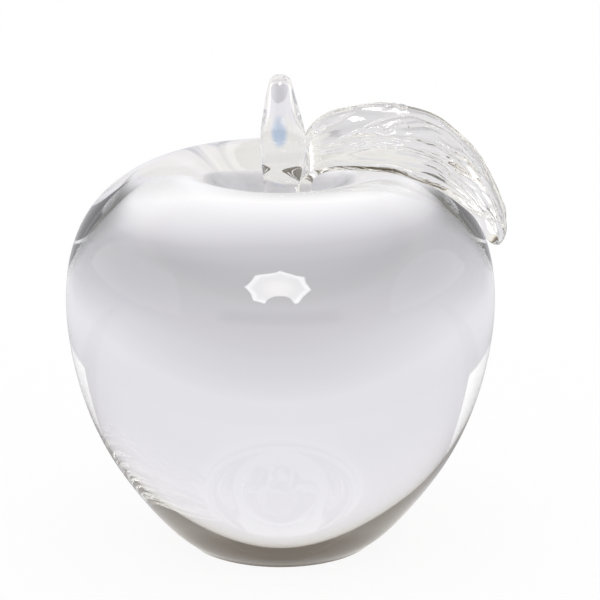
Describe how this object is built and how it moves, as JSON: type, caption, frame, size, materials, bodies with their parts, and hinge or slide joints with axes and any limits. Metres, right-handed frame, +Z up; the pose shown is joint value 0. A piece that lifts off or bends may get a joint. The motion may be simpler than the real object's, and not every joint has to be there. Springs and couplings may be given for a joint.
{
  "type": "glass apple paperweight",
  "caption": "Solid clear glass apple on a flat polished base, with a fused glass stem standing in its dimple and a pressed glass leaf arching over its shoulder.",
  "frame": {"origin": "centre of the polished flat base, on the axis of the body", "axes": "+Z up along the stem, +X towards the leaf's tip, +Y to the back"},
  "size_m": [0.1025, 0.1, 0.1119],
  "materials": {
    "body_glass": "fire-polished clear crystal, thick enough to look faintly lavender grey",
    "stem_glass": "fire-polished clear crystal",
    "leaf_glass": "pressed and fire-polished clear crystal with ribs"
  },
  "bodies": {
    "root": {"apple_body": "body_glass", "stem": "stem_glass", "leaf": "leaf_glass"}
  },
  "joints": []
}
